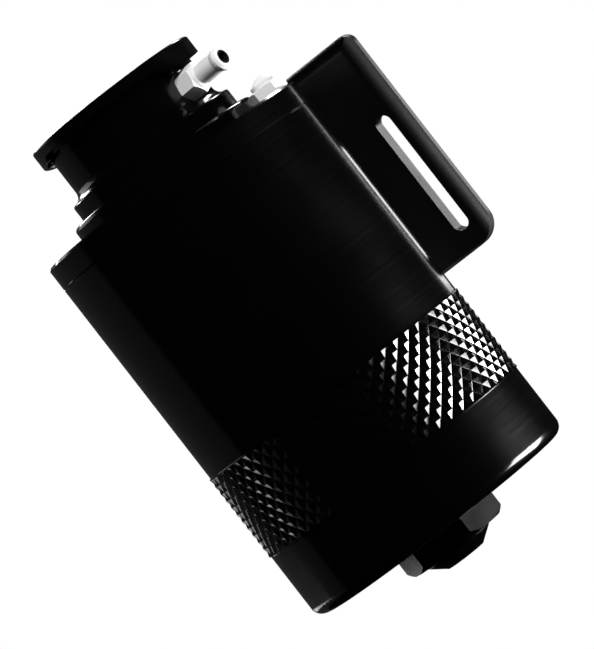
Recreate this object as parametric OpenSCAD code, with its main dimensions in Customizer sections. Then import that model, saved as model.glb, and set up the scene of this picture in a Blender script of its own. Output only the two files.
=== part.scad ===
// Coolant expansion tank, turned from aluminium and anodised black.
// A knurled cup carries a plug-in lid, a filler neck with a bayonet pressure cap,
// a hose fitting, a vent plug, a drain plug and a slotted wing bracket.
// Millimetres. Each piece is drawn with +Z up the tank's axis, z = 0 at the tank's flat
// bottom and the bracket behind the tank, at +Y, with its wing towards +X. It is then
// moved so that the origin lies in the middle of the wing's slot, level with the flat
// back of the bracket, which faces +Y and lies against the vehicle's panel.
// Angles are degrees anticlockwise from +X, seen from above.

/* [Tank] */
// Outer diameter of the tank
tank_d = 101.6; // [96:0.2:116]
// Height of the cup, from its flat bottom to the lid seam
body_h = 135.7; // [125:0.1:180]
// Wall of the cup
wall = 5; // [4.5:0.1:6]
// Thickness of the cup's floor
floor_t = 8; // [6:0.5:12]
// Radius of the rounded bottom edge
bottom_round = 4; // [1:0.5:6]
// Chamfer of the lid's upper edge
rim_chamfer = 0.8; // [0.2:0.1:1.5]
// Chamfer on either side of the lid seam
seam_chamfer = 0.35; // [0.1:0.05:0.8]

/* [Knurl] */
// Height of the knurled band's lower lip above the flat bottom
knurl_base = 25.4; // [15:0.1:40]
// Diamonds in one row around the tank
knurl_starts = 60; // [40:1:72]
// Height of one diamond
knurl_pitch = 5.69; // [4:0.01:7]
// Rows of diamonds, each half a diamond above the last
knurl_rows = 11; // [5:1:14]
// How far the diamonds stand proud of the tank
knurl_proud = 0.45; // [0.2:0.05:0.8]
// Depth of the grooves between the diamonds
knurl_depth = 0.7; // [0.4:0.05:1.2]
// Share of a diamond's width that stays flat on top
knurl_land = 0.16; // [0.1:0.01:0.5]
// Height of the plain lip at each end of the knurl
knurl_lip = 0.6; // [0.3:0.05:1.5]

/* [Lid] */
// Height of the lid's visible band
lid_h = 8.4; // [7:0.1:14]
// Depth of the lid's spigot inside the cup
spigot_h = 11; // [8:0.5:16]
// Wall of the lid's spigot
spigot_wall = 6; // [5.4:0.1:7]
// Clearance of the spigot in the cup
spigot_gap = 0.1; // [0.05:0.05:0.3]

/* [Filler neck] */
// Diameter of the neck's base flange
neck_flange_d = 72.4; // [69:0.1:76]
// Height of the base flange
neck_flange_h = 5.3; // [4:0.1:8]
// How far the ring above the base flange stands out from the neck's wall
neck_ring_step = 3.7; // [3:0.1:4]
// Height of that ring
neck_ring_h = 5.9; // [4:0.1:9]
// Height of the neck's wall, up to the cam flange
neck_wall_h = 17.3; // [16.5:0.1:21]
// Radius of the cove where the wall meets the ring
neck_cove = 3.5; // [1:0.1:3.7]
// How far the cam flange that the cap hooks under stands out from the neck's wall
cam_lip = 1.7; // [1.5:0.1:2]
// Gap between the cam flange and the cap's lugs
cam_gap = 0.5; // [0.4:0.1:0.8]
// Thickness of the cam flange
cam_t = 2; // [1.6:0.1:2.4]
// Diameter of the bore that takes the cap's valve
valve_bore_d = 44.6; // [41:0.1:46]
// Depth of the valve seat below the neck's top
seat_depth = 20; // [18.5:0.1:20]
// Diameter of the bore below the valve seat
throat_d = 32; // [29:0.1:33]
// Diameter of the neck's threaded spigot in the lid
neck_thread_d = 48; // [40:0.5:52]
// How far the threaded spigot reaches below the lid's underside
neck_thread_reach = 3; // [1:0.5:5]

/* [Cap] */
// Outer diameter of the cap across its lugs
cap_d = 63.8; // [60:0.1:66]
// Thickness of the cap's lug walls
lug_t = 1.5; // [1.2:0.1:1.6]
// Thickness of the cap's top
cap_top_t = 1.2; // [1.1:0.1:2]
// Height of the plain skirt, cap's top included
skirt_h = 3.8; // [3:0.1:4.2]
// Turn of the lugs' middle from the bracket's direction
lug_turn = -4; // [-6:1:0]
// Height of the spring disc and the gasket between neck and cap
cap_gap = 1.6; // [1.4:0.1:2.4]

/* [Valve] */
// Diameter of the valve plate
valve_d = 38; // [36.6:0.1:40]
// Thickness of the valve plate and of its rubber ring, each
valve_t = 1.6; // [1.2:0.1:2]
// Mean diameter of the pressure spring
spring_d = 21; // [20:0.1:23]
// Wire of the pressure spring
spring_wire = 1.8; // [1.2:0.1:2]
// Turns of the pressure spring
spring_turns = 4; // [3:0.5:5]
// Upward travel of the valve plate when the cap relieves
relief_travel = 2.5; // [1:0.1:2.6]
// Downward travel of the vacuum valve
vacuum_travel = 1.5; // [0.5:0.1:2]

/* [Fittings] */
// Width across the flats of the hose fitting's hexagon
hose_hex_af = 9.8; // [9.2:0.1:10]
// Turn of the hose fitting from the bracket's direction
hose_turn = -20; // [-30:1:-12]
// Height of the hose fitting's axis below the cam flange
hose_drop = 9.5; // [9.4:0.1:10.5]
// Length of the hose fitting's hexagon
hose_hex_l = 6.8; // [4:0.1:8]
// Distance of the hose fitting's tip from the tank's axis
hose_reach = 46.6; // [44:0.1:60]
// Diameter of the hose fitting's barrel
hose_d = 7.2; // [6:0.1:8]
// Diameter of the hose fitting's end bead
hose_bead_d = 8.7; // [8.4:0.1:9]
// Bore of the hose fitting
hose_bore_d = 4.1; // [3:0.1:4.5]
// Diameter of the hose fitting's thread
hose_thread_d = 8; // [7.5:0.1:8.6]
// Width across the flats of the vent plug's hexagon
vent_hex_af = 11.9; // [11:0.1:12]
// Diameter of the vent plug's thread
vent_thread_d = 9.7; // [8:0.1:10]
// Height of the vent plug's hexagon
vent_hex_h = 4; // [3:0.1:6]
// Height of the vent plug above the lid
vent_h = 7.6; // [6:0.1:10]
// Diameter of the vent plug's dome at its foot
vent_dome_d = 8.5; // [7:0.1:9.8]

/* [Drain plug] */
// Width across the flats of the drain plug's hexagon
plug_af = 34.2; // [34:0.1:38]
// Height of the drain plug's hexagon
plug_hex_h = 8.8; // [6:0.05:12]
// Corner of the hexagon, turned from the bracket's direction
plug_turn = 5; // [0:1:59]
// Diameter of the drain plug's nose
plug_nose_d = 24.8; // [20:0.1:28]
// Height of the plug's nose below the hexagon
plug_nose_h = 4.6; // [3:0.05:8]
// Diameter of the drain plug's thread
plug_thread_d = 29; // [26:0.5:29]

/* [Bracket] */
// Distance of the wing's outer edge from the tank's axis
wing_reach = 64.1; // [62:0.1:80]
// Height of the bracket
wing_h = 83.8; // [70:0.1:95]
// Height of the bracket's upper edge above the lid's top
wing_rise = 3.3; // [-5:0.1:6]
// Thickness of the wing
wing_t = 8.8; // [6:0.1:10]
// Clearance of the tank from the panel that the bracket's back lies on
wing_back = 1; // [0.8:0.1:5]
// Radius of the wing's lower outer corner
wing_low_round = 8; // [2:0.5:12]
// Radius of the wing's upper outer corner
wing_top_round = 4; // [0.5:0.1:6]
// Radius along the wing's front edges
wing_edge_round = 5; // [0.5:0.1:5]
// Width of the slot
slot_w = 5.7; // [5:0.1:7]
// Length of the slot
slot_l = 47; // [20:0.1:50]
// Height of the slot's lower end above the bracket's lower edge
slot_base = 7.6; // [6:0.1:14]
// Material between the slot and the wing's outer edge
slot_edge = 5.5; // [4:0.1:8]
// Distance of the bracket's inner end from the plane through the tank's axis
saddle_start = 10; // [5:0.5:12]
// Diameter of the two screws that hold the bracket on the tank
screw_d = 5; // [4:0.5:5]
// Distance of the screws from the plane through the tank's axis
screw_x = 20; // [19:0.5:24]
// Distance between the two screws
screw_pitch = 46; // [30:0.5:50]

/* [Hidden] */
$fn = 96;

black = [0.03, 0.03, 0.035];
silver = [0.8, 0.8, 0.8];
steel = [0.55, 0.55, 0.55];
rubber = [0.08, 0.08, 0.08];

// Overlap that keeps cuts and unions clean
e = 0.5;
// Play between pieces that are screwed or laid together
fit = 0.05;
// Running clearance between pieces that move past each other
run = 0.3;

// Tank
body_r = tank_d / 2;
bore_r = body_r - wall;
lid_top = body_h + lid_h;
inner_round = 3;
boss_wall = 5;
boss_h = 6;
boss_r = plug_thread_d / 2 + boss_wall;
port_depth = floor_t + boss_h;

// Knurl
knurl_low = knurl_base + knurl_lip;
knurl_step = knurl_pitch / 2;
knurl_high = knurl_low + knurl_rows * knurl_step;
crest_r = body_r + knurl_proud;
valley_r = crest_r - knurl_depth;
lip_r = crest_r + fit;
knurl_floor = valley_r - 0.25;
knurl_root = knurl_floor - 0.4;
knurl_sink = 0.15;

// Rubber rings and their grooves
cord_d = 2;
groove_w = 2.6;
lid_ring_r = bore_r - spigot_gap - groove_w / 2 + 0.25;
lid_ring_z = body_h - spigot_h / 2;
neck_ring_r = 29.2;
plug_ring_r = plug_thread_d / 2 + cord_d / 2 + 0.2;

// Neck, from the lid's top upwards
flange_z = lid_top + neck_flange_h;
shoulder_z = flange_z + neck_ring_h;
cam_z = shoulder_z + neck_wall_h;
neck_top = cam_z + cam_t;
seat_z = neck_top - seat_depth;
bead_h = 0.6;
bead_w = 2;
bead_z = seat_z + bead_h;
cam_r = cap_d / 2 - lug_t - cam_gap;
neck_r = cam_r - cam_lip;
neck_step_r = neck_r + neck_ring_step;
thread_low = body_h - neck_thread_reach;

// Cap, hung from the neck's top
cap_low = neck_top + cap_gap;
cap_top = cap_low + cap_top_t;
cap_r = cap_d / 2;
lug_in_r = cap_r - lug_t;
skirt_z = cap_top - skirt_h;
dish_r = 19;
dish_t = 0.4;
hook_in_r = neck_r + 0.5;
hook_t = 1.6;
hook_top = cam_z - run;
hook_low = hook_top - hook_t;
hook_span = 0.6 * cap_r;
notch_extra = 4;

// Lugs: the corners of their outline, as shares of the cap's radius, and its heights
lug_lead = 0.72 * cap_r;
lug_heel = 0.44 * cap_r;
lug_toe = 0.705 * cap_r;
lug_end = 0.752 * cap_r;
lug_low = hook_low - 1.7;
lug_rise = 2.9;
lug_brow = 1.7;

// Valve, hung inside the neck
diaphragm_t = 0.5;
bell_t = 1;
bell_r = spring_d / 2 + 2;
bell_skirt = 6;
seal_low = bead_z;
plate_low = seal_low + valve_t;
plate_top = plate_low + valve_t;
bell_top = cap_low - diaphragm_t;
spring_low = plate_top;
spring_high = bell_top - bell_t;
hub_r = 7;
hub_wall = 1;
hub_cap_t = 1.2;
stem_r = 2.5;
stem_flange_r = 4.6;
stem_flange_t = 1.4;
hub_top = spring_high - relief_travel - 1;
stem_flange_top = hub_top - hub_cap_t - 2.6;
vacuum_hole_r = 3;
vacuum_r = 5.2;
pin_r = 0.9;
vacuum_wire = 0.5;
vacuum_spring_r = 3.6;
collar_t = 0.6;
collar_r = 4.3;
collar_z = plate_top + vacuum_travel + 1.2;

// Small fittings
hose_z = cam_z - hose_drop;
hose_corner = hose_hex_af / 2 / cos(30);
hose_seat = neck_r - 0.6;
hose_thread_r = hose_thread_d / 2;
vent_thread_r = vent_thread_d / 2;
vent_r = (neck_flange_d / 2 + body_r) / 2;
vent_depth = 6;
vent_way_r = 1.2;
vent_way_x = (bore_r - spigot_gap - spigot_wall + lid_ring_r - cord_d / 2) / 2;

// Bracket
wing_top = lid_top + wing_rise;
wing_low = wing_top - wing_h;
wing_back_y = body_r + wing_back;
wing_front_y = wing_back_y - wing_t;
saddle_r = body_r + fit;
slot_x = wing_reach - slot_edge - slot_w / 2;
slot_z0 = wing_low + slot_base + slot_w / 2;
slot_z1 = slot_z0 + slot_l - slot_w;
screw_mid = (wing_low + body_h) / 2;
screw_r = screw_d / 2;
screw_head_r = 0.9 * screw_d;
screw_head_h = screw_head_r - screw_r;
screw_sink = 0.3;
screw_entry_y = sqrt(pow(body_r, 2) - pow(screw_x, 2));
screw_grip = 3.6;
screw_tip_y = screw_entry_y - screw_grip;

// Moves a piece from the tank's axis to the frame of the bracket's slot
module at_mount() {
    translate([-slot_x, -wing_back_y, -(slot_z0 + slot_z1) / 2]) children();
}

// Ring of rectangular section, between two radii and two heights
module ring(r0, r1, z0, z1) {
    rotate_extrude() translate([r0, z0]) square([r1 - r0, z1 - z0]);
}

// Rubber ring of round section
module cord_ring(r, z) {
    rotate_extrude() translate([r, z]) circle(d = cord_d, $fn = 24);
}

// What a fillet of radius r takes off a corner at the origin, material to the lower left
module corner_off(r) {
    difference() {
        translate([-r, -r]) square(r + e);
        translate([-r, -r]) circle(r, $fn = 48);
    }
}

// What a chamfer takes off the same corner
module chamfer_off(c) {
    polygon([[e, -c - e], [e, e], [-c - e, e]]);
}

// Hexagonal prism with both end edges chamfered, standing on the origin
module hex_prism(af, h, bevel_low, bevel_high, slope = tan(30)) {
    corner = af / 2 / cos(30);
    intersection() {
        cylinder(r = corner, h = h, $fn = 6);
        rotate_extrude() polygon([
            [0, 0], [corner - bevel_low, 0], [corner, bevel_low * slope],
            [corner, h - bevel_high * slope], [corner - bevel_high, h], [0, h]
        ]);
    }
}

// Knurl. A diamond's middle lies at a_i in row k, and its four corners lie half a
// pitch to the sides and one step up and down, where the grooves cross.
function knurl_angle(i, k) = 360 / knurl_starts * (i + (k % 2) / 2);
function polar(r, a, z) = [r * cos(a), r * sin(a), z];
half_turn = 180 / knurl_starts;
function row_z(k) = knurl_low + k * knurl_step;

// Points of one diamond, corners first and then the flat's corners: left, down, right, up
function diamond(i, k) =
    let (a = knurl_angle(i, k), t = knurl_land)
    [
        polar(valley_r, a - half_turn, row_z(k)),
        polar(valley_r, a, row_z(k - 1)),
        polar(valley_r, a + half_turn, row_z(k)),
        polar(valley_r, a, row_z(k + 1)),
        polar(crest_r, a - half_turn * t, row_z(k)),
        polar(crest_r, a, row_z(k) - knurl_step * t),
        polar(crest_r, a + half_turn * t, row_z(k)),
        polar(crest_r, a, row_z(k) + knurl_step * t)
    ];

// End section of the knurl at row k: a valley and two crest points for each diamond
function end_ring(k, z) = [
    for (i = [0 : knurl_starts - 1])
        let (a = knurl_angle(i, k))
        each [
            polar(valley_r, a - half_turn, z),
            polar(crest_r, a - half_turn * knurl_land, z),
            polar(crest_r, a + half_turn * knurl_land, z)
        ]
];

function back_ring(k, z) = [
    for (p = end_ring(k, z))
        let (a = atan2(p[1], p[0]))
        polar(knurl_root, a, z)
];

// Faces that join two rings of n points, the first ring starting at point a
function strip(a, b, n) = [
    for (j = [0 : n - 1])
        let (q = (j + 1) % n)
        each [[a + j, a + q, b + q], [a + j, b + q, b + j]]
];

module knurl_ring() {
    n = 3 * knurl_starts;
    last = knurl_rows;
    low = knurl_low - knurl_sink;
    high = knurl_high + knurl_sink;
    // Whole diamonds
    whole = [for (k = [1 : last - 1]) for (i = [0 : knurl_starts - 1]) diamond(i, k)];
    whole_points = [for (d = whole) each d];
    whole_faces = [
        for (d = [0 : len(whole) - 1])
            each [
                for (s = [0 : 3])
                    let (b = 8 * d, t = (s + 1) % 4)
                    each [[b + s, b + 4 + t, b + t], [b + s, b + 4 + s, b + 4 + t]],
                [8 * d + 4, 8 * d + 7, 8 * d + 6],
                [8 * d + 4, 8 * d + 6, 8 * d + 5]
            ]
    ];
    // Half diamonds at the two ends: upper halves in row 0, lower halves in the last row
    half_points = [
        for (k = [0, last]) for (i = [0 : knurl_starts - 1])
            let (d = diamond(i, k), up = k == 0 ? 3 : 1)
            each [d[0], d[2], d[up], d[4], d[6], d[4 + up]]
    ];
    h0 = len(whole_points);
    half_faces = [
        for (q = [0 : 2 * knurl_starts - 1])
            let (b = h0 + 6 * q, upper = q < knurl_starts)
            for (f = [[0, 2, 5], [0, 5, 3], [1, 4, 5], [1, 5, 2], [3, 5, 4]])
                upper
                    ? [b + f[0], b + f[1], b + f[2]]
                    : [b + f[0], b + f[2], b + f[1]]
    ];
    // Ends and back
    ends = [
        end_ring(0, row_z(0)), end_ring(0, low), back_ring(0, low),
        back_ring(last, high), end_ring(last, high), end_ring(last, row_z(last))
    ];
    r0 = h0 + len(half_points);
    end_points = [for (r = ends) each r];
    end_faces = [
        for (j = [0, 1, 3, 4]) each strip(r0 + j * n, r0 + (j + 1) * n, n)
    ];
    // The back rings of the two ends differ by half a diamond when the rows are odd
    shift = last % 2 == 0 ? 0 : 1;
    back_faces = [
        for (j = [0 : n - 1])
            let (q = (j + 1) % n, a = r0 + 2 * n, b = r0 + 3 * n)
            each [[a + j, a + q, b + q], [a + j, b + q, b + j]]
    ];
    polyhedron(
        points = concat(whole_points, half_points, end_points),
        faces = concat(whole_faces, half_faces, end_faces, back_faces),
        convexity = 6
    );
}

// Half section of the cup
module body_section() {
    difference() {
        union() {
            difference() {
                square([body_r, body_h]);
                translate([body_r, 0]) mirror([0, 1]) corner_off(bottom_round);
                translate([knurl_floor, knurl_low])
                    square([body_r, knurl_high - knurl_low]);
            }
            // Lips at the ends of the knurl
            polygon([
                [knurl_floor - e, knurl_low], [knurl_floor - e, knurl_base],
                [body_r, knurl_base], [lip_r, knurl_base + (lip_r - body_r) / 2],
                [lip_r, knurl_low]
            ]);
            polygon([
                [knurl_floor - e, knurl_high], [lip_r, knurl_high],
                [lip_r, knurl_high + knurl_lip - (lip_r - body_r) / 2],
                [body_r, knurl_high + knurl_lip],
                [knurl_floor - e, knurl_high + knurl_lip]
            ]);
        }
        // Cavity around the port's boss
        difference() {
            translate([-e, floor_t]) square([bore_r + e, body_h]);
            translate([-2 * e, floor_t - e]) square([boss_r + 2 * e, boss_h + e]);
            difference() {
                translate([bore_r - inner_round, floor_t - e])
                    square([inner_round + e, inner_round + e]);
                translate([bore_r - inner_round, floor_t + inner_round])
                    circle(inner_round, $fn = 48);
            }
        }
        // Port with the ring's seat
        translate([-e, -e]) square([plug_thread_d / 2 + fit + e, port_depth + 2 * e]);
        translate([-e, -e]) square([plug_ring_r + cord_d / 2 + 0.1 + e, cord_d + fit + e]);
        translate([body_r, body_h]) chamfer_off(seam_chamfer);
    }
}

// Places what is drawn along +Z on both screws, which point from the back of the
// bracket into the tank, at height y behind the tank's axis
module at_screws(y) {
    for (s = [-1, 1])
        translate([screw_x, y, screw_mid + s * screw_pitch / 2]) rotate([90, 0, 0]) children();
}

module tank_body() {
    color(black) at_mount() difference() {
        union() {
            rotate_extrude() body_section();
            knurl_ring();
        }
        at_screws(body_r) cylinder(r = screw_r + fit, h = body_r - screw_tip_y + fit, $fn = 48);
    }
}

module top_lid() {
    spigot_r = bore_r - spigot_gap;
    color(black) at_mount() difference() {
        rotate_extrude() difference() {
            union() {
                translate([0, body_h]) square([body_r, lid_h]);
                translate([spigot_r - spigot_wall, body_h - spigot_h])
                    square([spigot_wall, spigot_h + e]);
            }
            translate([-e, body_h - e]) square([neck_thread_d / 2 + fit + e, lid_h + 2 * e]);
            translate([body_r, lid_top]) chamfer_off(rim_chamfer);
            translate([body_r, body_h]) mirror([0, 1]) chamfer_off(seam_chamfer);
            translate([lid_ring_r - cord_d / 2 - fit, lid_ring_z - groove_w / 2])
                square([cord_d + e, groove_w]);
        }
        translate([vent_r, 0, lid_top - vent_depth - e])
            cylinder(r = vent_thread_r + fit, h = vent_depth + 2 * e);
        // Way from the vent plug down through the spigot
        translate([vent_way_x, 0, body_h - spigot_h - e])
            cylinder(r = vent_way_r, h = spigot_h + lid_h - vent_depth + e, $fn = 24);
    }
}

module lid_o_ring() {
    color(rubber) at_mount() cord_ring(lid_ring_r, lid_ring_z);
}

// Half section of the neck
module neck_section() {
    difference() {
        union() {
            translate([0, thread_low]) square([neck_thread_d / 2, lid_top - thread_low + e]);
            difference() {
                translate([0, lid_top]) square([neck_flange_d / 2, neck_flange_h]);
                translate([neck_flange_d / 2, flange_z]) corner_off(1.6);
                translate([neck_flange_d / 2, lid_top]) mirror([0, 1]) chamfer_off(0.5);
            }
            difference() {
                translate([0, flange_z - e]) square([neck_step_r, neck_ring_h + e]);
                translate([neck_step_r, shoulder_z]) chamfer_off(0.4);
            }
            translate([0, shoulder_z - e]) square([neck_r, neck_wall_h + 2 * e]);
            // Cove between the wall and the ring
            difference() {
                translate([neck_r - e, shoulder_z - e])
                    square([neck_cove + e, neck_cove + e]);
                translate([neck_r + neck_cove, shoulder_z + neck_cove])
                    circle(neck_cove, $fn = 48);
            }
            translate([0, cam_z]) square([cam_r, cam_t]);
        }
        // Throat, seat with its raised bead, and valve bore
        translate([-e, thread_low - e]) square([throat_d / 2 + e, seat_depth * 3]);
        difference() {
            translate([-e, seat_z]) square([valve_bore_d / 2 + e, seat_depth + e]);
            translate([throat_d / 2 - e, seat_z - e]) square([bead_w + e, bead_h + e]);
        }
        // Seat of the rubber ring under the base flange
        translate([neck_ring_r - groove_w / 2, lid_top - e])
            square([groove_w, cord_d + fit + e]);
    }
}

module filler_neck() {
    color(black) at_mount() difference() {
        rotate_extrude() neck_section();
        // Notches that let the cap's hooks through the cam flange
        for (a = [0, 180]) rotate(lug_turn + a)
            translate([neck_r + fit, -hook_span / 2 - notch_extra, cam_z - e])
                cube([cap_r, hook_span + 2 * notch_extra, cam_t + 2 * e]);
        // Tapped hole and flat for the hose fitting
        translate([0, 0, hose_z]) rotate(hose_turn) rotate([0, 90, 0]) {
            cylinder(r = hose_thread_r + fit, h = neck_r + e);
            translate([0, 0, hose_seat]) cylinder(r = hose_corner + 0.3, h = neck_cove);
        }
    }
}

module neck_o_ring() {
    color(rubber) at_mount() cord_ring(neck_ring_r, lid_top + cord_d / 2);
}

// Hose fitting along +Z from its seat on the neck's wall
module overflow_fitting() {
    thread_l = hose_seat - valve_bore_d / 2 - 1;
    tip = hose_reach - hose_seat;
    bead_l = 3.4;
    corner_turn = 106.6;
    color(silver) at_mount() translate([0, 0, hose_z]) rotate(hose_turn) rotate([0, 90, 0])
        translate([0, 0, hose_seat]) difference() {
            union() {
                translate([0, 0, -thread_l]) cylinder(r = hose_thread_r, h = thread_l + e);
                rotate(corner_turn) hex_prism(hose_hex_af, hose_hex_l, 0.4, 0.9);
                rotate_extrude() polygon([
                    [0, hose_hex_l - e], [hose_d / 2 + 0.7, hose_hex_l - e],
                    [hose_d / 2 + 0.7, hose_hex_l + 0.4], [hose_d / 2, hose_hex_l + 1.1],
                    [hose_d / 2, tip - bead_l], [hose_bead_d / 2, tip - bead_l + 1.7],
                    [hose_bead_d / 2, tip - 0.9], [hose_bead_d / 2 - 0.7, tip], [0, tip]
                ]);
            }
            translate([0, 0, -thread_l - e]) cylinder(d = hose_bore_d, h = tip + thread_l + 2 * e);
        }
}

// Vent plug with a domed head
module vent_plug() {
    corner_turn = 11;
    dome_r = vent_dome_d / 2;
    color(silver) at_mount() translate([vent_r, 0, lid_top]) {
        translate([0, 0, -vent_depth]) cylinder(r = vent_thread_r, h = vent_depth + e);
        rotate(corner_turn) hex_prism(vent_hex_af, vent_hex_h, 0.2, 0.7);
        rotate_extrude() intersection() {
            translate([0, vent_hex_h - e]) square([dome_r, vent_h - vent_hex_h + e]);
            translate([0, vent_h - dome_r * 1.1]) circle(dome_r * 1.17, $fn = 64);
        }
    }
}

module drain_plug() {
    nose_r = plug_nose_d / 2;
    nose_step = 0.8;
    tip_r = 7.2;
    bevel = 2.4;
    hollow_r = 9;
    color(black) at_mount() difference() {
        union() {
            translate([0, 0, -plug_hex_h]) rotate(plug_turn)
                hex_prism(plug_af, plug_hex_h, bevel, 0.3, tan(40));
            cylinder(r = plug_thread_d / 2, h = port_depth - 1);
            rotate_extrude() polygon([
                [0, -plug_hex_h + e], [nose_r, -plug_hex_h + e],
                [nose_r, -plug_hex_h - nose_step],
                [tip_r + 0.6, -plug_hex_h - plug_nose_h + 0.5],
                [tip_r, -plug_hex_h - plug_nose_h], [0, -plug_hex_h - plug_nose_h]
            ]);
        }
        cylinder(r = hollow_r, h = port_depth);
    }
}

module plug_o_ring() {
    color(rubber) at_mount() cord_ring(plug_ring_r, cord_d / 2);
}

// Bracket in plan: a bar behind the tank, hollowed to lie on the tank's wall
module bracket_plan() {
    difference() {
        translate([saddle_start, wing_front_y]) square([wing_reach - saddle_start, wing_t]);
        translate([wing_reach, wing_front_y]) mirror([0, 1]) corner_off(wing_edge_round);
        translate([wing_reach, wing_back_y]) chamfer_off(0.3);
        circle(saddle_r);
    }
}

// Bracket seen along X, y to the right and z up, with its front edges rounded
module bracket_side() {
    difference() {
        translate([wing_front_y, wing_low]) square([wing_t, wing_h]);
        translate([wing_front_y, wing_top]) mirror([1, 0]) corner_off(wing_edge_round);
        translate([wing_front_y, wing_low]) rotate(180) corner_off(1);
    }
}

// Bracket's outline seen along Y, x outwards and z up
module bracket_outline() {
    difference() {
        translate([0, wing_low]) square([wing_reach, wing_h]);
        translate([wing_reach, wing_top]) corner_off(wing_top_round);
        translate([wing_reach, wing_low]) mirror([0, 1]) corner_off(wing_low_round);
    }
}

module mounting_bracket() {
    depth = 2 * tank_d;
    color(black) at_mount() difference() {
        intersection() {
            translate([0, 0, wing_low]) linear_extrude(wing_h) bracket_plan();
            translate([0, depth / 2, 0]) rotate([90, 0, 0])
                linear_extrude(depth) bracket_outline();
            rotate([90, 0, 90]) linear_extrude(depth) bracket_side();
        }
        // Slot
        translate([slot_x, wing_back_y + e, 0]) rotate([90, 0, 0]) {
            for (z = [slot_z0, slot_z1])
                translate([0, z, 0]) cylinder(d = slot_w, h = 2 * wing_t);
            translate([-slot_w / 2, slot_z0, 0]) cube([slot_w, slot_z1 - slot_z0, 2 * wing_t]);
        }
        // Holes and countersinks of the screws
        at_screws(wing_back_y + e) cylinder(r = screw_r + 2 * fit, h = 2 * wing_t, $fn = 48);
        at_screws(wing_back_y + e) cylinder(r = screw_head_r + fit, h = screw_sink + e, $fn = 48);
        at_screws(wing_back_y - screw_sink)
            cylinder(r1 = screw_head_r + fit, r2 = screw_r + fit, h = screw_head_h, $fn = 48);
    }
}

// Countersunk screws with a socket
module bracket_screws() {
    head_y = wing_back_y - screw_sink;
    length = head_y - screw_tip_y;
    color(steel) at_mount() at_screws(head_y) difference() {
        union() {
            cylinder(r1 = screw_head_r, r2 = screw_r, h = screw_head_h, $fn = 48);
            cylinder(r = screw_r, h = length, $fn = 48);
        }
        translate([0, 0, -e]) cylinder(r = 0.32 * screw_d, h = 0.4 * screw_d + e, $fn = 6);
    }
}

// Outline of a lug seen from outside it: y across, z up.
// The leading side slopes, the lower edge rises like the neck's cam, the far side is steep.
module lug_outline() {
    polygon([
        [-lug_lead, cap_low + e / 2], [-lug_lead, cap_top - lug_brow], [-lug_heel, lug_low],
        [lug_toe, lug_low + lug_rise], [lug_end, skirt_z + fit], [lug_end, cap_low + e / 2]
    ]);
}

// What is cut away outside that outline, below the plain skirt
module lug_cut() {
    difference() {
        translate([-cap_r - e, lug_low - e])
            square([2 * cap_r + 2 * e, skirt_z - lug_low + e]);
        lug_outline();
    }
}

module cap_shell() {
    color(black) at_mount() union() {
        difference() {
            // The revolve's seam is turned away from the lugs
            rotate(90) rotate_extrude() difference() {
                union() {
                    translate([0, cap_low]) square([cap_r, cap_top_t]);
                    translate([lug_in_r, lug_low]) square([lug_t, cap_low - lug_low + e]);
                }
                translate([cap_r, cap_top]) corner_off(0.8);
                // Shallow dish in the middle of the top
                translate([-e, cap_top - dish_t]) square([dish_r + e, dish_t + e]);
                translate([-e, cap_low - e])
                    square([stem_r + run + e, cap_top_t + 2 * e]);
            }
            for (a = [0, 180]) rotate(lug_turn + a)
                rotate([90, 0, 90]) linear_extrude(2 * cap_r) lug_cut();
        }
        // Hooks on the inside of the lugs
        for (a = [0, 180]) rotate(lug_turn + a) intersection() {
            rotate(180) ring(hook_in_r, lug_in_r + lug_t / 3, hook_low, hook_top);
            translate([0, -hook_span / 2, hook_low - e]) cube([cap_r, hook_span, hook_t + 2 * e]);
        }
    }
}

// Rivet that carries the valve: head on the cap, flange inside the valve's hub
module cap_stem() {
    head_r = 6;
    head_t = 1.1;
    color(steel) at_mount() rotate_extrude() polygon([
        [0, stem_flange_top - stem_flange_t], [stem_flange_r, stem_flange_top - stem_flange_t],
        [stem_flange_r, stem_flange_top], [stem_r, stem_flange_top],
        [stem_r, cap_top - dish_t + fit], [head_r, cap_top - dish_t + fit],
        [head_r, cap_top - dish_t + 0.4], [head_r - 2, cap_top - dish_t + head_t],
        [0, cap_top - dish_t + head_t]
    ]);
}

// Spring disc under the cap's top
module cap_diaphragm() {
    color(steel) at_mount() ring(stem_r + fit, lug_in_r - 1, cap_low - diaphragm_t, cap_low);
}

module cap_gasket() {
    color(rubber) at_mount() ring(valve_bore_d / 2 + 0.5, cam_r - 0.6, neck_top, cap_low - diaphragm_t);
}

// Cup that keeps the pressure spring on the axis
module spring_bell() {
    color(steel) at_mount() difference() {
        ring(stem_r + fit, bell_r, bell_top - bell_skirt, bell_top);
        ring(0, bell_r - 0.8 * bell_t, bell_top - bell_skirt - e, bell_top - bell_t);
    }
}

// Coil spring of round wire, swept along its helix
function coil_point(r, z0, z1, turns, t) = polar(r, 360 * turns * t, z0 + (z1 - z0) * t);

module coil(r, wire, z0, z1, turns, steps, sides) {
    n = round(turns * steps);
    low = z0 + wire / 2;
    high = z1 - wire / 2;
    points = [
        for (j = [0 : n])
            let (a = 360 * turns * j / n, c = coil_point(r, low, high, turns, j / n))
            for (s = [0 : sides - 1])
                let (b = 360 * s / sides)
                c + wire / 2 * [cos(b) * cos(a), cos(b) * sin(a), sin(b)]
    ];
    faces = concat(
        [[for (s = [0 : sides - 1]) s]],
        [
            for (j = [0 : n - 1]) for (s = [0 : sides - 1])
                let (q = (s + 1) % sides, a = j * sides, b = a + sides)
                each [[a + s, b + s, b + q], [a + s, b + q, a + q]]
        ],
        [[for (s = [sides - 1 : -1 : 0]) n * sides + s]]
    );
    polyhedron(points = points, faces = faces, convexity = 6);
}

module pressure_spring() {
    color(steel) at_mount() coil(spring_d / 2, spring_wire, spring_low + fit, spring_high - fit,
        spring_turns, 24, 8);
}

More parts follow.
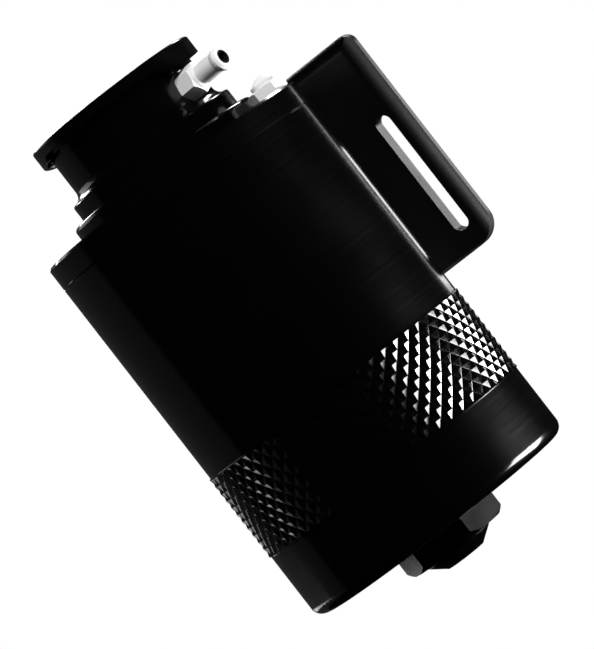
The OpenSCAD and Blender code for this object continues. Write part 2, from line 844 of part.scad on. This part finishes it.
// Valve plate with the hub that hangs on the stem's flange
module valve_plate() {
    color(steel) at_mount() rotate_extrude() difference() {
        union() {
            translate([vacuum_hole_r, plate_low]) square([valve_d / 2 - vacuum_hole_r, valve_t]);
            translate([hub_r - hub_wall, plate_low]) square([hub_wall, hub_top - plate_low]);
            translate([stem_r + run, hub_top - hub_cap_t])
                square([hub_r - stem_r - run, hub_cap_t]);
        }
        translate([valve_d / 2, plate_top]) corner_off(0.5);
    }
}

module valve_seal() {
    color(rubber) at_mount() ring(throat_d / 2 - 1.5, valve_d / 2 - 0.2, seal_low, plate_low);
}

// Vacuum valve: a disc under the plate on a pin that the collar holds up
module vacuum_valve() {
    color(steel) at_mount() {
        ring(0, vacuum_r, plate_low - 2, plate_low - 1);
        ring(0, pin_r, plate_low - 2, collar_z + collar_t + 0.3);
    }
}

module vacuum_seal() {
    color(rubber) at_mount() ring(pin_r + fit, vacuum_r, plate_low - 1, plate_low);
}

module vacuum_spring() {
    color(steel) at_mount() coil(vacuum_spring_r, vacuum_wire, plate_top + fit, collar_z - fit, 3, 16, 6);
}

module vacuum_collar() {
    color(steel) at_mount() ring(pin_r + fit, collar_r, collar_z, collar_z + collar_t);
}

tank_body();
top_lid();
lid_o_ring();
filler_neck();
neck_o_ring();
overflow_fitting();
vent_plug();
drain_plug();
plug_o_ring();
mounting_bracket();
bracket_screws();
cap_shell();
cap_stem();
cap_diaphragm();
cap_gasket();
spring_bell();
pressure_spring();
valve_plate();
valve_seal();
vacuum_valve();
vacuum_seal();
vacuum_spring();
vacuum_collar();
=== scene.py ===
import math

import bmesh
import bpy
from mathutils import Matrix, Vector


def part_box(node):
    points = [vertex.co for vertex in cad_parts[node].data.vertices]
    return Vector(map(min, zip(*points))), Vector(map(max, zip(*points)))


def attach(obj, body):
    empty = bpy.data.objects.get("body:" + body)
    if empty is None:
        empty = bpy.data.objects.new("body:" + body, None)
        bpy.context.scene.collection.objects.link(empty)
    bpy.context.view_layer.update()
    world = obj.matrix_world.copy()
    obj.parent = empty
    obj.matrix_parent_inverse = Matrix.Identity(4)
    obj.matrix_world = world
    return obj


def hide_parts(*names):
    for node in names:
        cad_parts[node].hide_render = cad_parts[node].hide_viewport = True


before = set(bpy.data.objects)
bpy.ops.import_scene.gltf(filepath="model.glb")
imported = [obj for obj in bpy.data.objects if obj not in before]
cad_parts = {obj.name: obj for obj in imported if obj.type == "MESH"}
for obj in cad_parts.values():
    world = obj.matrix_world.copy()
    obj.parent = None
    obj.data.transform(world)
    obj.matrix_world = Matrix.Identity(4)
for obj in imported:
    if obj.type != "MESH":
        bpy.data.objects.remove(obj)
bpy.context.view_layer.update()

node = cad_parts

# The tank's axis, through the middle of its neck, at its flat bottom, in metres
neck_low, neck_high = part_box("filler_neck")
body_low, body_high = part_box("tank_body")
AXIS = Vector(((neck_low.x + neck_high.x) / 2, (neck_low.y + neck_high.y) / 2, body_low.z))
UP = Vector((0, 0, 1))


def mm(x, y, z):
    """A point given in millimetres from the axis at the tank's flat bottom."""
    return AXIS + Vector((x, y, z)) / 1000


def middle(name):
    """The middle of a node's box."""
    low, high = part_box(name)
    return (low + high) / 2


# Materials

BLACK = 0.0006                   # how much light the black finish scatters
BRIGHT = 0.9                     # the bright fittings' grey
STEEL = 0.6
RUBBER_DARK, RUBBER_PALE = 0.012, 0.024
BORE_PAINTED_SHADE = 0.01                 # painted shade: the dark grey given to the hose fitting's bore

OXIDE_IOR = 1.6                  # the dyed oxide reflects more than paint does
KNURL_IOR = 3.0                  # the knurl's ridges glint more than the turned faces
PLUG_IOR = 1.3                   # the drain plug is the dullest black piece
LATHE_SPREAD = 0.3               # how far lathe marks stretch a highlight
BRIGHT_METALLIC = 0.35           # the fittings' frosted skin also scatters light
BORE_R = 0.0026                  # how far from the hose's axis the painted bore shade reaches, taking in the bore's rounded mouth, in metres
BORE_BLUR = 0.0001

# Noise scales, per metre
LATHE_MARKS = 9000.0
LATHE_BANDS = 700.0
LATHE_CLOUDS = 45.0
BLAST_PITS = 5200.0
BLAST_CLOUDS = 60.0
BRIGHT_MARKS = 7000.0
BRIGHT_CLOUDS = 220.0
RUBBER_GRAIN = 900.0
NOISE_LOW, NOISE_HIGH = 0.3, 0.7     # most of a noise's values lie between these


def new_material(name):
    """An empty material, and the short calls for its nodes."""
    m = bpy.data.materials.new(name)
    m.use_nodes = True
    m.node_tree.nodes.clear()
    return m, Tree(m)


def grey(level):
    return (level, level, level, 1)


class Tree:
    """Short calls for making nodes and links in one material or world."""

    def __init__(self, owner):
        self.tree = owner.node_tree

    def add(self, kind, inputs=None, **attributes):
        n = self.tree.nodes.new(kind)
        for k, v in attributes.items():
            setattr(n, k, v)
        for k, v in (inputs or {}).items():
            self.feed(n.inputs[k], v)
        return n

    def feed(self, socket, v):
        if isinstance(v, bpy.types.NodeSocket):
            self.tree.links.new(v, socket)
        else:
            socket.default_value = v

    def math(self, op, a, b=0.0):
        return self.add("ShaderNodeMath", {0: a, 1: b}, operation=op).outputs[0]

    def vector(self, op, a, b=(0, 0, 0)):
        return self.add("ShaderNodeVectorMath", {0: a, 1: b}, operation=op).outputs

    def ramp(self, v, lo, hi, out_lo, out_hi):
        n = self.add("ShaderNodeMapRange", {"Value": v, "From Min": lo, "From Max": hi,
                                            "To Min": out_lo, "To Max": out_hi})
        return n.outputs[0]

    def spread(self, noise, low, high):
        """A noise stretched so that most of it lies between low and high."""
        return self.ramp(noise, NOISE_LOW, NOISE_HIGH, low, high)

    def marks(self, place, scale, detail):
        """Noise along one length, which gives parallel marks."""
        n = self.add("ShaderNodeTexNoise", noise_dimensions="1D",
                     inputs={"W": place, "Scale": scale, "Detail": detail})
        return n.outputs[0]

    def clouds(self, point, scale, detail):
        """Noise in space."""
        n = self.add("ShaderNodeTexNoise", {"Vector": point, "Scale": scale, "Detail": detail})
        return n.outputs[0]

    def local(self, centre):
        """Object position with its zero at a given point."""
        c = self.add("ShaderNodeTexCoord")
        return self.vector("SUBTRACT", c.outputs["Object"], tuple(centre))[0]

    def height_and_radius(self, point):
        """A point's height, and its distance from the upright axis."""
        x, y, z = self.add("ShaderNodeSeparateXYZ", {0: point}).outputs
        squares = self.math("ADD", self.math("MULTIPLY", x, x), self.math("MULTIPLY", y, y))
        return z, self.math("SQRT", squares)

    def bump(self, height, strength, distance):
        n = self.add("ShaderNodeBump", {"Height": height, "Strength": strength,
                                        "Distance": distance})
        return n.outputs[0]

    def mix(self, factor, a, b):
        n = self.add("ShaderNodeMix", {"Factor": factor, "A": a, "B": b}, data_type="RGBA")
        return n.outputs["Result"]

    def surface(self, colour, roughness, normal, others=None):
        """The shader and the output, which end a material."""
        inputs = {"Base Color": colour, "Roughness": roughness, "Normal": normal}
        inputs.update(others or {})
        shader = self.add("ShaderNodeBsdfPrincipled", inputs)
        self.add("ShaderNodeOutputMaterial", {"Surface": shader.outputs[0]})


def black_tint(t, cloud):
    """The black finish, a little paler where the cloud is high."""
    return t.mix(cloud, grey(BLACK * 0.85), grey(BLACK * 1.2))


def turned_black(name, rough):
    """Black anodised aluminium with lathe marks running round the tank's axis."""
    m, t = new_material(name)
    p = t.local(AXIS)
    height, radius = t.height_and_radius(p)
    travel = t.math("ADD", height, radius)
    fine = t.marks(travel, LATHE_MARKS, 1.0)
    bands = t.marks(travel, LATHE_BANDS, 3.0)
    cloud = t.clouds(p, LATHE_CLOUDS, 4.0)
    roughness = t.math("ADD", t.spread(bands, rough - 0.01, rough + 0.01),
                       t.spread(cloud, -0.02, 0.02))
    tangent = t.add("ShaderNodeTangent", direction_type="RADIAL", axis="Z").outputs[0]
    t.surface(black_tint(t, cloud), roughness, t.bump(fine, 0.03, 0.00003),
              {"IOR": OXIDE_IOR, "Anisotropic": LATHE_SPREAD, "Anisotropic Rotation": 0.25,
               "Tangent": tangent})
    return m


def blasted_black(name, rough, ior=OXIDE_IOR):
    """Black anodised aluminium, milled and finely blasted."""
    m, t = new_material(name)
    p = t.local((0, 0, 0))
    pits = t.clouds(p, BLAST_PITS, 2.0)
    cloud = t.clouds(p, BLAST_CLOUDS, 3.0)
    roughness = t.spread(cloud, rough - 0.03, rough + 0.03)
    t.surface(black_tint(t, cloud), roughness, t.bump(pits, 0.12, 0.00005), {"IOR": ior})
    return m


def bright_metal(name, centre, along, rough, tone=BRIGHT, metallic=BRIGHT_METALLIC, bore=None):
    """Turned metal with fine marks round an axis through centre, with painted shade in its
    bore.
    """
    m, t = new_material(name)
    p = t.local(centre)
    height = t.vector("DOT_PRODUCT", p, tuple(along))["Value"]
    reach = t.vector("LENGTH", p)["Value"]
    squares = t.math("SUBTRACT", t.math("MULTIPLY", reach, reach),
                     t.math("MULTIPLY", height, height))
    radius = t.math("SQRT", t.math("MAXIMUM", squares, 0.0))
    fine = t.marks(t.math("ADD", height, radius), BRIGHT_MARKS, 1.0)
    cloud = t.clouds(p, BRIGHT_CLOUDS, 3.0)
    roughness = t.math("ADD", t.spread(fine, rough - 0.04, rough + 0.05),
                       t.spread(cloud, -0.02, 0.03))
    colour = t.mix(cloud, grey(tone * 0.96), grey(tone * 1.03))
    # Painted shade: everything within the bore's radius of the axis, the hole and the rim of
    # its mouth, is coloured dark grey in place of the shade in the hole
    if bore:
        painted_bore_shade = t.ramp(radius, bore + BORE_BLUR, bore - BORE_BLUR, 0.0, 1.0)
        colour = t.mix(painted_bore_shade, colour, grey(BORE_PAINTED_SHADE))
    t.surface(colour, roughness, t.bump(fine, 0.12, 0.00005), {"Metallic": metallic})
    return m


def rubber_material(name):
    """Matt moulded rubber."""
    m, t = new_material(name)
    grain = t.clouds(t.local((0, 0, 0)), RUBBER_GRAIN, 4.0)
    colour = t.mix(grain, grey(RUBBER_DARK), grey(RUBBER_PALE))
    t.surface(colour, t.spread(grain, 0.55, 0.7), t.bump(grain, 0.2, 0.0001))
    return m


def paint(names, material):
    """Gives each named node one material."""
    for n in names:
        node[n].data.materials.clear()
        node[n].data.materials.append(material)


body_black = turned_black("black_body", rough=0.15)
knurl_black = blasted_black("black_knurl", rough=0.16, ior=KNURL_IOR)
paint(["top_lid"], turned_black("black_lid", rough=0.15))
paint(["filler_neck"], turned_black("black_neck", rough=0.16))
paint(["cap_shell"], turned_black("black_cap", rough=0.18))
paint(["drain_plug"], blasted_black("black_plug", rough=0.2, ior=PLUG_IOR))
paint(["mounting_bracket"], blasted_black("black_bracket", rough=0.4))
paint(["vent_plug"], bright_metal("bright_vent", middle("vent_plug"), UP, rough=0.45))

# The hose fitting points straight out from the axis
hose_middle = middle("overflow_fitting")
hose_along = Vector((hose_middle.x - AXIS.x, hose_middle.y - AXIS.y, 0)).normalized()
paint(["overflow_fitting"],
      bright_metal("bright_hose", hose_middle, hose_along, rough=0.45, bore=BORE_R))

paint(["bracket_screws", "cap_stem", "cap_diaphragm", "spring_bell", "pressure_spring",
       "valve_plate", "vacuum_valve", "vacuum_spring", "vacuum_collar"],
      bright_metal("plain_steel", AXIS, UP, rough=0.3, tone=STEEL, metallic=1.0))
paint(["lid_o_ring", "neck_o_ring", "plug_o_ring", "cap_gasket", "valve_seal",
       "vacuum_seal"], rubber_material("rubber"))

# The knurled band, drawn again with finer grooves. Sizes are in millimetres, as in the
# part's source.

KNURL_STARTS = 60                # diamonds round the band
KNURL_PITCH = 5.69               # from one diamond to the next above it
KNURL_ROWS = 11
KNURL_LOW = 26.0
KNURL_HIGH = KNURL_LOW + KNURL_ROWS * KNURL_PITCH / 2
CREST_R = 51.25
BAND_INNER = CREST_R - 1.0       # the cup's faces outside this radius are the band's
BAND_SLACK = 0.01
LIP_R = 51.3
LIP_H = 0.6
LIP_BEVEL = (0.5, 0.25)          # how far the lip's bevel runs in and along
LIP_SINK = 0.4                   # how far the bevel runs on into the cup, in bevels
RING_STEPS = 240
GROOVE_DEPTH = 0.66
GROOVE_STEPS = 7
GROOVE_CROWDING = 1.5            # over 1 crowds the steps into the groove's bottom
GROOVE_POWER = 1.15              # 1 is a straight flank, 2 a round groove
CREST_SHARE = 0.08               # what the grooves leave flat, as a share of the pitch
KEY_STEPS = 1000                 # corners closer than a pitch over this are one
BODY_SLOT, KNURL_SLOT = 0, 1     # places in the cup's list of materials


def groove_profile():
    """From a diamond's middle (0) to the groove at its edge (0.5): places and radii."""
    half = (1 - CREST_SHARE) / 2
    profile = [(0.0, CREST_R)]
    for i in range(GROOVE_STEPS + 1):
        x = (1 - i / GROOVE_STEPS) ** GROOVE_CROWDING
        rise = GROOVE_DEPTH * x ** GROOVE_POWER
        profile.append((0.5 - x * half, CREST_R - GROOVE_DEPTH + rise))
    return profile


def add_diamonds(bm):
    """Each diamond has four sides, each a strip of faces that runs down from its middle
    into the groove beside it. Sides meet in sharp ridges."""
    profile = groove_profile()
    known = {}

    def vertex(turns, rise, r):
        key = (round(turns * KEY_STEPS) % (KEY_STEPS * KNURL_STARTS), round(rise * KEY_STEPS))
        if key not in known:
            a = 2 * math.pi * turns / KNURL_STARTS
            place = mm(r * math.cos(a), r * math.sin(a), KNURL_LOW + rise * KNURL_PITCH)
            known[key] = bm.verts.new(place)
        return known[key]

    def side(turns, rise, ends):
        rows = [[vertex(turns + place * x, rise + place * y, r) for x, y in ends]
                for place, r in profile]
        for (a, b), (c, d) in zip(rows, rows[1:]):
            face = bm.faces.new([a, c, d] if a is b else [a, c, d, b])
            face.smooth = True
            face.material_index = KNURL_SLOT
            bm.edges.get((a, c)).smooth = False
            bm.edges.get((b, d)).smooth = False
        bm.edges.get(rows[1]).smooth = False

    # A diamond's corners, anticlockwise from its right one. The first and the last row
    # are half diamonds.
    corners = [(1, 0), (0, 1), (-1, 0), (0, -1)]
    for k in range(KNURL_ROWS + 1):
        upper = [0, 1] if k < KNURL_ROWS else []
        lower = [2, 3] if k > 0 else []
        for i in range(KNURL_STARTS):
            for q in upper + lower:
                side(i + k % 2 / 2, k / 2, (corners[q], corners[(q + 1) % 4]))


def add_ring(bm, profile, slot):
    """A surface of revolution through (radius, height) points from the bottom up."""
    turns = [2 * math.pi * i / RING_STEPS for i in range(RING_STEPS)]
    rings = [[bm.verts.new(mm(r * math.cos(a), r * math.sin(a), z)) for a in turns]
             for r, z in profile]
    for low, high in zip(rings, rings[1:]):
        for i in range(RING_STEPS):
            j = (i + 1) % RING_STEPS
            face = bm.faces.new([low[i], low[j], high[j], high[i]])
            face.smooth = True
            face.material_index = slot
    for ring in rings[1:-1]:
        for i in range(RING_STEPS):
            bm.edges.get((ring[i], ring[(i + 1) % RING_STEPS])).smooth = False


def add_lips(bm):
    """The two lips that close the band. The upper one shines as the knurl does."""
    run, rise = (size * (1 + LIP_SINK) for size in LIP_BEVEL)
    corner = LIP_H - LIP_BEVEL[1]
    lip = [(LIP_R - run, corner + rise), (LIP_R, corner), (LIP_R, 0.0), (BAND_INNER, 0.0)]
    add_ring(bm, [(r, KNURL_LOW - z) for r, z in lip], BODY_SLOT)
    add_ring(bm, [(r, KNURL_HIGH + z) for r, z in reversed(lip)], KNURL_SLOT)


def in_band(v):
    """Whether one of the cup's vertices belongs to the knurled band."""
    p = (v.co - AXIS) * 1000
    low = KNURL_LOW - LIP_H - BAND_SLACK
    high = KNURL_HIGH + LIP_H + BAND_SLACK
    return math.hypot(p.x, p.y) > BAND_INNER and low < p.z < high


def knurled_body():
    """The cup, with its coarse diamonds cut out and finer ones put in."""
    mesh = node["tank_body"].data.copy()
    bm = bmesh.new()
    bm.from_mesh(mesh)
    band = [f for f in bm.faces if all(in_band(v) for v in f.verts)]
    bmesh.ops.delete(bm, geom=band, context="FACES")
    add_diamonds(bm)
    add_lips(bm)
    bm.to_mesh(mesh)
    bm.free()
    mesh.materials.clear()
    mesh.materials.append(body_black)
    mesh.materials.append(knurl_black)
    piece = bpy.data.objects.new("knurled_body", mesh)
    bpy.context.scene.collection.objects.link(piece)
    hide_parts("tank_body")
    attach(piece, "tank")


knurled_body()

# Camera. Lengths are in millimetres.

TURN = math.radians(18)          # the camera's direction round the tank, from -Y towards +X
ROLL = math.radians(37.81)       # how far the tank leans to the left in the picture
RIGHT = Vector((math.cos(TURN), math.sin(TURN), 0))
FRONT = Vector((math.sin(TURN), -math.cos(TURN), 0))
DISTANCE = 1602.0
EYE_HEIGHT = 78.7
TARGET_RIGHT = 2.6
TARGET_HEIGHT = 80.4
FOCAL = 4890.0                   # in pixels of the picture
IMAGE_HEIGHT = 649               # the picture's longer side, which the sensor spans
SENSOR = 36


def stand(thing, place, x, y, z):
    """Puts an object in the scene, with its origin and its three axes as given."""
    bpy.context.scene.collection.objects.link(thing)
    pose = Matrix((x, y, z)).transposed().to_4x4()
    pose.translation = place
    thing.matrix_world = pose


def make_camera():
    """The camera of the picture, rolled so that the tank leans."""
    eye = AXIS + (FRONT * DISTANCE + UP * EYE_HEIGHT) / 1000
    target = AXIS + (RIGHT * TARGET_RIGHT + UP * TARGET_HEIGHT) / 1000
    look = (target - eye).normalized()
    level_x = look.cross(UP).normalized()
    level_y = level_x.cross(look)
    x = level_x * math.cos(ROLL) - level_y * math.sin(ROLL)
    y = level_y * math.cos(ROLL) + level_x * math.sin(ROLL)
    data = bpy.data.cameras.new("camera")
    data.sensor_width = SENSOR
    data.lens = FOCAL / IMAGE_HEIGHT * SENSOR
    data.clip_start = 0.05
    data.clip_end = 50
    camera = bpy.data.objects.new("camera", data)
    stand(camera, eye, x, y, -look)
    return camera


bpy.context.scene.camera = make_camera()
bpy.context.scene.view_settings.view_transform = "Standard"

# Surroundings

ROOM_GLOW = 0.004                # what the room gives to everything but the camera


def make_world():
    """The camera sees plain white, everything else a nearly dark room."""
    world = bpy.data.worlds.new("studio")
    world.use_nodes = True
    world.node_tree.nodes.clear()
    t = Tree(world)
    path = t.add("ShaderNodeLightPath")
    room = t.add("ShaderNodeBackground", {"Color": grey(1), "Strength": ROOM_GLOW})
    white = t.add("ShaderNodeBackground", {"Color": grey(1), "Strength": 1.0})
    mix = t.add("ShaderNodeMixShader", {0: path.outputs["Is Camera Ray"],
                                        1: room.outputs[0], 2: white.outputs[0]})
    t.add("ShaderNodeOutputWorld", {"Surface": mix.outputs[0]})
    return world


def softbox(name, azimuth, reach, z, width, height, glow, aim=80, mirrored=True):
    """A rectangular lamp that faces the tank's axis at height aim. Azimuth runs from the
    camera's direction towards the right of the upright tank, reach is the distance from
    the axis and z the height above the tank's flat bottom, in millimetres. Glow is the
    brightness of the lamp's face. A lamp that isn't mirrored lights without being seen
    in the gloss."""
    a = math.radians(azimuth)
    place = AXIS + ((FRONT * math.cos(a) + RIGHT * math.sin(a)) * reach + UP * z) / 1000
    back = (place - AXIS - UP * aim / 1000).normalized()
    x = UP.cross(back).normalized()
    data = bpy.data.lights.new(name, "AREA")
    data.shape = "RECTANGLE"
    data.size = width / 1000
    data.size_y = height / 1000
    data.energy = glow * math.pi * data.size * data.size_y
    lamp = bpy.data.objects.new(name, data)
    stand(lamp, place, x, back.cross(x), back)
    lamp.visible_camera = False
    lamp.visible_glossy = mirrored


bpy.context.scene.world = make_world()

# At the right, low down: the streak on the wall and the bright side of the knurl
softbox("table_right", azimuth=93, reach=600, z=-225, width=460, height=250, glow=20, aim=40)
softbox("table_right_core", azimuth=94, reach=560, z=-190, width=110, height=150, glow=70,
        aim=40)

# Behind, at the right: the bracket's edge and the small glints on lid and flange
softbox("right_back", azimuth=146, reach=500, z=108, width=150, height=110, glow=3)
softbox("high_right_back", azimuth=143, reach=420, z=400, width=90, height=90, glow=24)

# At the left: the wall's grey side, the bottom's edge, the knurl and its upper lip
softbox("left_wall", azimuth=-140, reach=700, z=150, width=1500, height=900, glow=0.04)
softbox("left_low", azimuth=-136, reach=500, z=-60, width=420, height=40, glow=1.6, aim=20)
softbox("left_high", azimuth=-128, reach=600, z=385, width=460, height=250, glow=1.0)
softbox("left_top", azimuth=-168, reach=420, z=360, width=240, height=120, glow=10)

# In front, from above: the bright fittings
softbox("fill", azimuth=20, reach=500, z=560, width=300, height=300, glow=22, mirrored=False)
